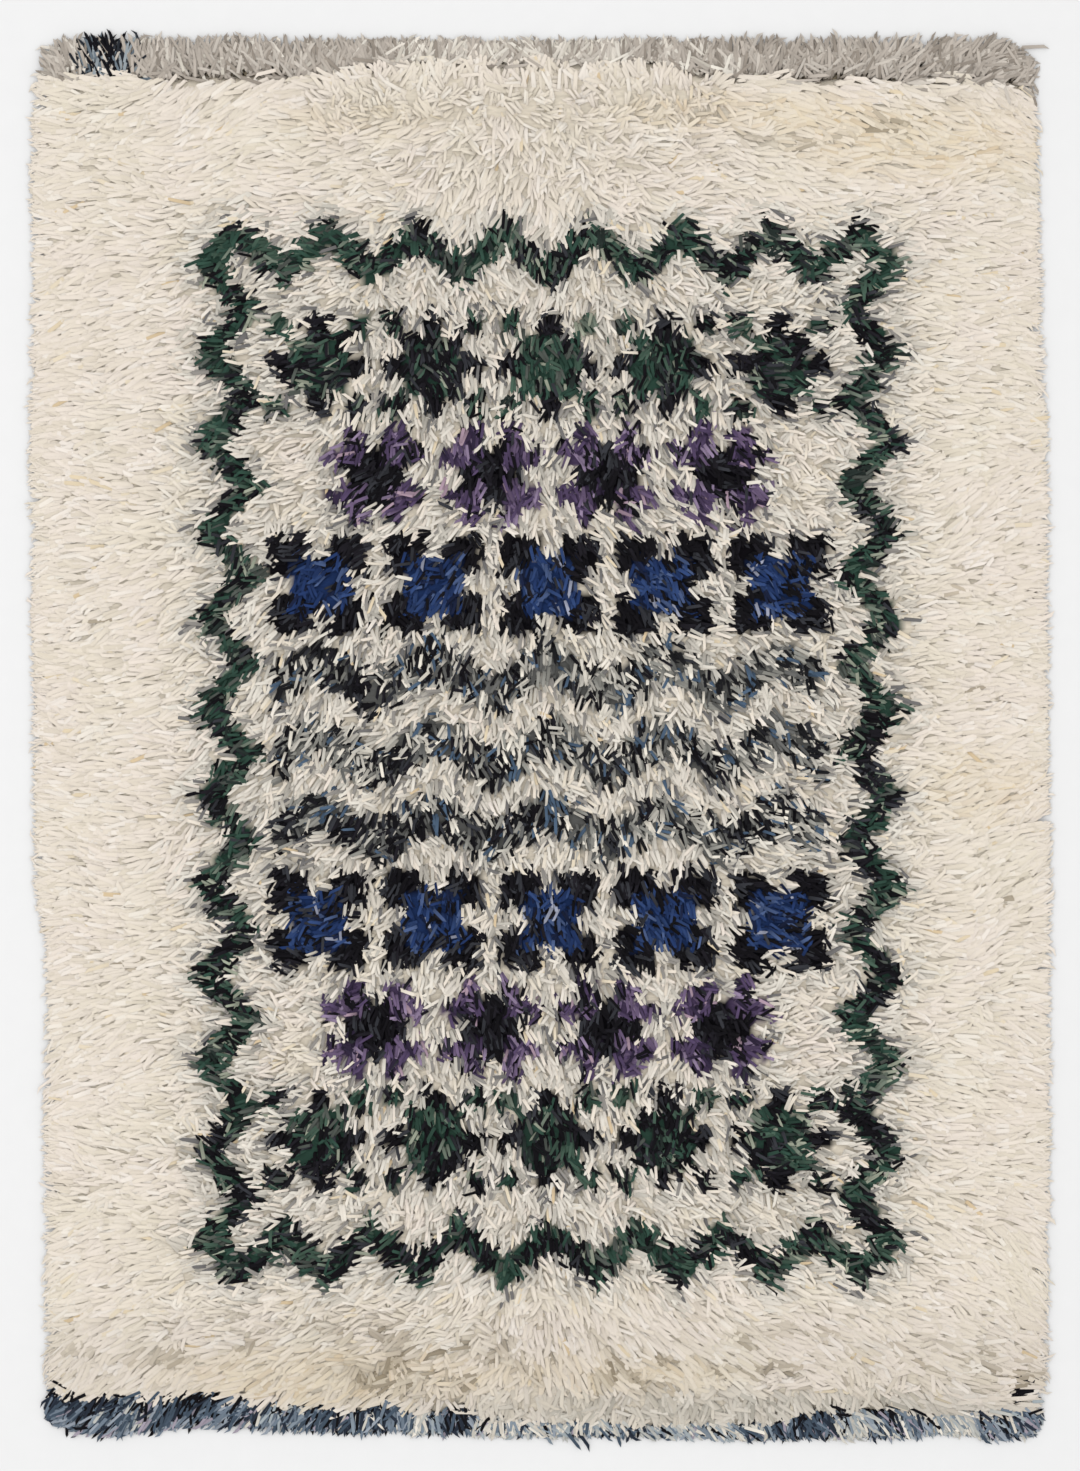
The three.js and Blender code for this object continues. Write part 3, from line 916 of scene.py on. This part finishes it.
seen = stations[:, 0, :2] * (1 - SHOWS_AT) + stations[:, -1, :2] * SHOWS_AT
seen += rng.normal(0, SHOWS_STRAY, (len(knot_x), 2))[knot]
yarn = read_chart(*seen.T)
one_hank = (rng.uniform(0, 1, len(knot_x)) < ONE_HANK_SHARE)[knot]
dice = np.where(one_hank, rng.uniform(0, 1, len(knot_x))[knot], rng.uniform(0, 1, count))
second_dice = rng.uniform(0, 1, count)
dye = pick("cream", dice)
tint = steady_noise(seed=8, spacing=TINT["spacing"])(*seen.T)
dye *= 1 + tint[:, None] * np.array([TINT["redder"], 0, TINT["bluer"]])
stray = second_dice > 1 - STRAY_SHARE
dye[stray] = pick("warm", dice[stray])
for patch in PATCHES:
    mixed = patch["share"] * inside(patch, seen) * rng.uniform(LEAST_MIXED, 1, count)
    dye += mixed[:, None] * (pick(patch["yarn"], dice) - dye)
# Painted shade: the brown-grey fleck yarn is mixed into the cream in soft marks, standing in for the
# shade between the tufts.
tuft_shade_noise = steady_noise(seed=12, spacing=1)(*(seen / TUFT_SHADE_SIZE).T)
for patch in PAINTED_TUFT_SHADE:
    tuft_shade = np.clip((tuft_shade_noise - patch["least"]) / TUFT_SHADE_BLEND, 0, 1) * inside(patch, seen)
    tuft_shade *= TUFT_SHADE_DEPTH * rng.uniform(LEAST_TUFT_SHADE, 1, count)
    dye += tuft_shade[:, None] * (pick("fleck", dice) - dye)
cool = near_dyed(seen, COOL_WIDTH) & (second_dice < COOL_SHARE)
dye[cool] = pick("cool", dice[cool])
smudged = near_dyed(seen, SMUDGE_WIDTH) & (second_dice < SMUDGE_SHARE)
dye[smudged] = pick("smudged", dice[smudged])
for fleck in FLECKS:
    away = np.hypot(seen[:, 0] - fleck["across"], (seen[:, 1] - fleck["along"]) * FLECK_PROPORTION)
    here = (away < FLECK_SIZE) & (second_dice < FLECK_SHARE)
    dye[here] += FLECK_DEPTH * (pick("fleck", dice[here]) - dye[here])
for number, name in enumerate(CHART_YARNS[1:], 1):
    dye[yarn == number] = pick(name, dice[yarn == number])
black_share = np.where(yarn == CHART_YARNS.index("green"), GREEN_BLACK_SHARE, BLACK_SHARE)
dark = steady_noise(seed=6, spacing=BLACK_PATCHES["spacing"])(*seen.T)
black_share += BLACK_PATCHES["swing"] * dark
black_share = np.clip(black_share, BLACK_PATCHES["least"], BLACK_PATCHES["most"])
blackened = (yarn > CHART_YARNS.index("black")) & (second_dice < black_share)
blackened |= inside(BLACK_KNOT, seen) > BLACK_KNOT["least"]
dye[blackened] = pick("black", dice[blackened])
dye *= rng.uniform(*LOCK_TINT, count)[:, None]
# The cream is made darker towards the foot.
foot_darkening_share = np.clip((FOOT_DARKENING["from"] - seen[:, 1]) / FOOT_DARKENING["over"], 0, 1) * (yarn == 0)
dye *= 1 - FOOT_DARKENING["darker"] * foot_darkening_share[:, None]
mottle = np.where(yarn == 0, CREAM_MOTTLE, DYED_MOTTLE)

strip_ends = np.quantile(root[:, 1], np.linspace(0, 1, FIELD_STRIPS + 1))
strip = np.searchsorted(strip_ends[1:-1], root[:, 1])
for number in range(FIELD_STRIPS):
    here = strip == number
    name = f"field_pile_{number + 1}"
    tied_locks(
            name, stations[here], width[here], dye[here], mottle[here], "knotted_field"
        )


# Matted pile
# The lower part of the pile, where the locks stand so close that they mat into one soft woolly
# mass. It shows only as the bottom of the clefts between the locks that lie over it.
MAT_STEP = 0.0115
ROUGH_WIDTH = 1.4
MAT_DEPTH = 0.0034  # from the tops of the locks down to it
MAT_INSET = 0.018  # from the tips of the pile to its edge
MAT_FALL = {"width": 0.020, "depth": 0.008}  # it falls away to its edges at the seams
MAT_CHART_DEPTH = 0.0028  # how much deeper it lies where the pile stands up more
MAT_ROUGHNESS = 0.0006
MAT_THICKNESS = 0.0005  # at least
MAT_CREAM = "#d8cebd"
DOWNWARDS = -0.99  # the normals of its flat underside are below this
TUFT_SIZE = (0.017, 0.0045, 0.017)


def matted_wool():
    """Wool rubbed into a loose felt. It gives the eye soft matt tufts with no strands to follow."""
    material, tree, shader = new_material("matted_wool", roughness=0.95, specular=0.1)
    dye = add_node(tree, "ShaderNodeAttribute", {"attribute_name": "dye"}, {})
    place = add_node(tree, "ShaderNodeTexCoord", {}, {})
    combed_over = add_node(
        tree,
        "ShaderNodeVectorMath",
        {"operation": "DIVIDE"},
        {0: place.outputs["Object"], 1: TUFT_SIZE},
    )
    tufts = add_node(
        tree,
        "ShaderNodeTexNoise",
        {},
        {"Vector": combed_over.outputs["Vector"], "Scale": 1, "Detail": 3, "Distortion": 0.6},
    )
    # The mat is darker where its tufts lie lower: painted shade between the tufts.
    shade = add_node(
        tree,
        "ShaderNodeMapRange",
        {},
        {"Value": tufts.outputs["Fac"], "From Min": 0.3, "From Max": 0.7, "To Min": 0.8, "To Max": 1.04},
    )
    wool_colour = add_node(
        tree,
        "ShaderNodeVectorMath",
        {"operation": "SCALE"},
        {0: dye.outputs["Color"], "Scale": shade.outputs["Result"]},
    )
    tree.links.new(wool_colour.outputs["Vector"], shader.inputs["Base Color"])
    height = {"Height": tufts.outputs["Fac"], "Strength": 0.6, "Distance": 0.0015}
    relief = add_node(tree, "ShaderNodeBump", {}, height)
    tree.links.new(relief.outputs["Normal"], shader.inputs["Normal"])
    return material


mat = bmesh.new()
dye_layer = mat.verts.layers.float_color.new("dye")
mat_steps = (round(ROUGH_WIDTH / MAT_STEP), round(ROUGH_LENGTH / MAT_STEP))
bmesh.ops.create_grid(mat, x_segments=mat_steps[0], y_segments=mat_steps[1], size=0.5)
fit_grid(mat, MAT_INSET, "foot_seam", "head_seam", 0, CLOTH_THICKNESS)
upper = doubled(mat)
x, y = np.array([corner.co[:2] for corner in upper]).T
mat_yarn = read_chart(x, y)
mat_dye = np.full((len(upper), 4), linear(MAT_CREAM))
for number, name in enumerate(CHART_YARNS[1:], 1):
    mat_dye[mat_yarn == number] = linear(YARNS[name][0][0])
mat_top = pile_height(x, y) - MAT_DEPTH + MAT_ROUGHNESS * rng.normal(0, 1, len(upper))
to_seam = np.minimum(end("head_seam", x) - y, y - end("foot_seam", x))
mat_top -= MAT_FALL["depth"] * np.clip(1 - to_seam / MAT_FALL["width"], 0, 1)
mat_top -= MAT_CHART_DEPTH * in_chart_share(x, y)
mat_top = np.maximum(mat_top, CLOTH_THICKNESS + MAT_THICKNESS)
for corner, height, colour in zip(upper, mat_top, mat_dye):
    corner.co.z = height
    corner[dye_layer] = colour
bmesh.ops.recalc_face_normals(mat, faces=mat.faces[:])
underside = [face for face in mat.faces if face.normal.z < DOWNWARDS]
bmesh.ops.dissolve_faces(mat, faces=underside, use_verts=False)
for face in mat.faces:
    face.smooth = True
matted_pile = finished("matted_pile", mat, matted_wool())
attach(matted_pile, "root")
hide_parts("knotted_field")


# Head band
# The last rows of knots at the rug's head, tied in taupe and grey yarns and combed outwards, so
# that their tips lie on the floor. The tips of the cream pile fall over its near edge.
BAND_LOCKS = 3000
BAND_SEED = 3014
BAND_ENDS = (-0.672, 0.680)
BAND_REACH = (0.034, 0.048)
BAND_WIDTH = (0.0034, 0.0050)
BAND_UNEVENNESS = 0.003
BAND_SWIRL = 0.3
BAND_MOTTLE = 0.16
SEAM_SPRAY = math.radians(9)  # more of it at the seam
SEAM_OVERLAP = 0.009  # of the band's first knots, under the last cream ones
SEAM_RAGGED = {"depth": 0.005, "spacing": 0.02}
LEAST_ROWS = 0.003  # the band's knots cover at least this depth
# The share of the second yarn goes up and down in clumps, where there is any of it to speak of
CLUMPING = {"most": 0.35, "spacing": 0.03, "from": 0.06}
SORTED_SHARE = 0.40  # of the second yarn's locks lie in order, darkest towards the head: at the foot, painted shade under the cream tips
YARNS["taupe"] = [("#b3aaa0", 0.34), ("#a79e94", 0.30), ("#c0b8ae", 0.20), ("#8f867c", 0.16)]
YARNS["blue_black"] = [("#0f0e14", 0.46), ("#24282f", 0.18), ("#66717a", 0.18), ("#8f979c", 0.18)]
HEAD_SPRAY = math.radians(26)
HEAD_STRANDS = rows_of("across along heading reach", (0.660, 0.946, 8, 0.048))
# How far the locks lean from straight out towards the left long side, in degrees, and the shares
# of the second yarn and of pale locks, at places across the rug
HEAD_COMBING = rows_of(
    "across lean blue_black pale",
    (-0.690, 40, 0.00, 0.16),
    (-0.638, 30, 0.02, 0.10),
    (-0.622, 26, 0.94, 0.00),
    (-0.570, 4, 0.94, 0.00),
    (-0.560, 0, 0.00, 0.06),
    (-0.240, 4, 0.00, 0.06),
    (-0.180, 4, 0.00, 0.36),
    (0.160, -4, 0.00, 0.36),
    (0.260, -8, 0.00, 0.06),
    (0.420, -14, 0.00, 0.00),
    (0.520, -40, 0.00, 0.00),
    (0.690, -50, 0.00, 0.00),
)


def band_of_locks(name, node, outwards, ends, yarns, combing, spray, strands):
    """The locks of an end band, of two yarns. outwards is 1 towards the head and -1 towards the
    foot."""
    rng = np.random.default_rng(BAND_SEED)
    main, second = yarns
    x = rng.uniform(*BAND_ENDS, BAND_LOCKS)
    lean = np.radians(read_off(combing, "across", x, "lean"))
    ragged = SEAM_RAGGED["depth"] * steady_noise(seed=7, spacing=SEAM_RAGGED["spacing"])(x, 0 * x)
    seam = end(ends + "_seam", x) - outwards * (SEAM_OVERLAP + ragged)
    last = end(ends, x) - outwards * BAND_REACH[0] * np.cos(lean)
    last = seam + outwards * np.maximum(outwards * (last - seam), LEAST_ROWS)
    depth = rng.uniform(0, 1, BAND_LOCKS)
    root = np.stack([x, seam + (last - seam) * depth], 1)
    heading = outwards * (math.pi / 2 + lean) + BAND_SWIRL * swirl(*root.T)
    heading += rng.normal(0, 1, BAND_LOCKS) * (spray + SEAM_SPRAY * (1 - depth) ** 2)
    reach = rng.uniform(*BAND_REACH, BAND_LOCKS)
    past_rim = rng.normal(0, RIM_STRAY, BAND_LOCKS)
    let_loose(strands, root, heading, reach, past_rim)
    stations = fall_of(root, heading, reach, past_rim, np.full(BAND_LOCKS, BAND_UNEVENNESS), rng)
    width = rng.uniform(*BAND_WIDTH, BAND_LOCKS)

    dice = rng.uniform(0, 1, BAND_LOCKS)
    dye = pick(main, dice)
    share = read_off(combing, "across", x, second)
    clumps = CLUMPING["most"] * steady_noise(seed=7, spacing=CLUMPING["spacing"])(x, 0 * x)
    dark = rng.uniform(0, 1, BAND_LOCKS) < share + clumps * (share > CLUMPING["from"])
    # In the foot band this puts the darkest slate beside the seam: painted shade under the cream tips
    # that hang over it.
    from_head = depth if outwards < 0 else 1 - depth
    dice = np.where(rng.uniform(0, 1, BAND_LOCKS) < SORTED_SHARE, from_head, dice)
    dye[dark] = pick(second, dice[dark])
    pale = rng.uniform(0, 1, BAND_LOCKS) < read_off(combing, "across", x, "pale")
    dye[pale] = pick("cool", dice[pale])
    mottle = np.full(BAND_LOCKS, BAND_MOTTLE)
    return tied_locks(name, stations, width, dye, mottle, node)


band_of_locks(
        name="head_band_pile",
        node="head_band",
        outwards=1,
        ends="head",
        yarns=("taupe", "blue_black"),
        combing=HEAD_COMBING,
        spray=HEAD_SPRAY,
        strands=HEAD_STRANDS,
    )


# Foot band
# The first rows of knots at the rug's foot, tied in blue-grey, slate and near-black yarns, which
# come out from under the cream pile. Towards the right more of them are grey.
YARNS["grey"] = [("#b3b3ae", 0.28), ("#98a0a4", 0.30), ("#c3bfb5", 0.22), ("#7c8791", 0.20)]
YARNS["slate"] = [
    ("#0c0b10", 0.19), ("#252c38", 0.20), ("#414e5c", 0.23), ("#697582", 0.22),
    ("#8d959f", 0.10), ("#978f9b", 0.06),
]
FOOT_SPRAY = math.radians(16)
FOOT_STRANDS = rows_of(
    "across along heading reach",
    (0.034, -0.955, -50, 0.054),
    (0.029, -0.957, -52, 0.046),
    (0.100, -0.952, -72, 0.040),
)
FOOT_COMBING = rows_of(
    "across lean slate pale",
    (-0.690, 52, 1.00, 0.00),
    (-0.430, 42, 1.00, 0.00),
    (-0.300, 14, 0.96, 0.00),
    (-0.240, 4, 0.76, 0.06),
    (-0.228, 3, 0.96, 0.00),
    (-0.185, 0, 0.94, 0.00),
    (-0.178, 0, 0.50, 0.20),
    (-0.138, 0, 0.50, 0.20),
    (-0.130, 0, 0.96, 0.00),
    (-0.097, 0, 0.92, 0.00),
    (-0.088, 0, 0.12, 0.30),
    (-0.010, -4, 0.20, 0.20),
    (0.010, -6, 0.42, 0.10),
    (0.300, -12, 0.42, 0.10),
    (0.320, -14, 0.76, 0.02),
    (0.410, -18, 0.72, 0.04),
    (0.425, -18, 0.30, 0.16),
    (0.448, -20, 0.36, 0.10),
    (0.458, -20, 0.80, 0.02),
    (0.528, -20, 0.76, 0.04),
    (0.540, -22, 0.06, 0.30),
    (0.592, -26, 0.06, 0.30),
    (0.602, -30, 0.96, 0.00),
    (0.690, -44, 0.90, 0.02),
)
band_of_locks(
        name="foot_band_pile",
        node="foot_band",
        outwards=-1,
        ends="foot",
        yarns=("grey", "slate"),
        combing=FOOT_COMBING,
        spray=FOOT_SPRAY,
        strands=FOOT_STRANDS,
    )
